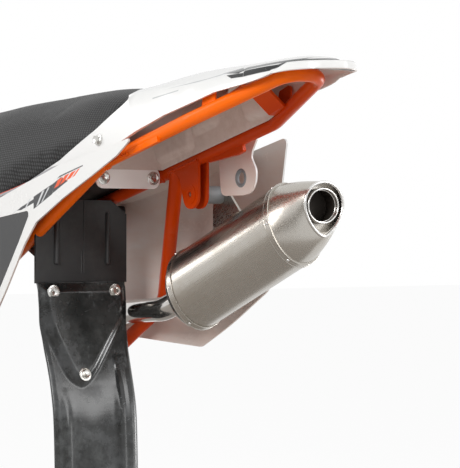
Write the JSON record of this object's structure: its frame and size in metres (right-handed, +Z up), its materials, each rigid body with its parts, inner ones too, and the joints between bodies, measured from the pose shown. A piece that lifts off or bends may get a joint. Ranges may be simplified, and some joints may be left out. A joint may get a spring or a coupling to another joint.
{
  "type": "motorcycle rear subframe assembly",
  "caption": "Bolt-on tail unit of an off-road motorcycle: tubular subframe carrying a seat, rear fender, side panels, mud flap and a slash-cut silencer.",
  "frame": {"origin": "centre of the bore through both front upper rail eyes, midway between the rails", "axes": "+X rearwards towards the tail loop, +Y to the rider's right (the silencer's side), +Z up"},
  "size_m": [1.101, 0.325, 0.6808],
  "materials": {
    "frame_orange": "semi-gloss orange powder coat",
    "white_plastic": "gloss",
    "black_plastic": "matte, moulded",
    "flap_plastic": "glossy, finely scratched",
    "seat_cover": "coated grip cloth over foam",
    "silencer_steel": "brushed stainless sheet",
    "pipe_chrome": "polished",
    "fastener_zinc": "zinc plated",
    "bush_rubber": "matte"
  },
  "bodies": {
    "root": {"air_box": "black_plastic", "fender_mount_plate": "white_plastic", "flap_bolts": "fastener_zinc", "front_cross_tube": "frame_orange", "hanger_bolt": "fastener_zinc", "inner_fender": "white_plastic", "left_brace": "frame_orange", "left_joint_strip": "frame_orange", "left_main_rail": "frame_orange", "left_panel_insert": "black_plastic", "left_panel_spacers": "black_plastic", "left_side_panel": "white_plastic", "link_pipe": "pipe_chrome", "link_pipe_clamp": "fastener_zinc", "loop_cross_strap": "frame_orange", "loop_tabs": "frame_orange", "mud_flap": "flap_plastic", "plate_bolts": "fastener_zinc", "rear_cross_tube": "frame_orange", "rear_fender": "white_plastic", "right_main_rail": "frame_orange", "right_panel_spacer": "black_plastic", "right_side_panel": "white_plastic", "right_strut": "frame_orange", "seat_base": "black_plastic", "seat_cushion": "seat_cover", "silencer_bush": "bush_rubber", "silencer_can": "silencer_steel", "silencer_clevis": "frame_orange", "silencer_end_cap": "silencer_steel", "silencer_front_band": "silencer_steel", "silencer_front_cap": "silencer_steel", "silencer_hanger": "silencer_steel", "silencer_outlet_tube": "silencer_steel", "silencer_rear_band": "silencer_steel", "splash_wall": "black_plastic", "tail_loop": "frame_orange"}
  },
  "joints": []
}
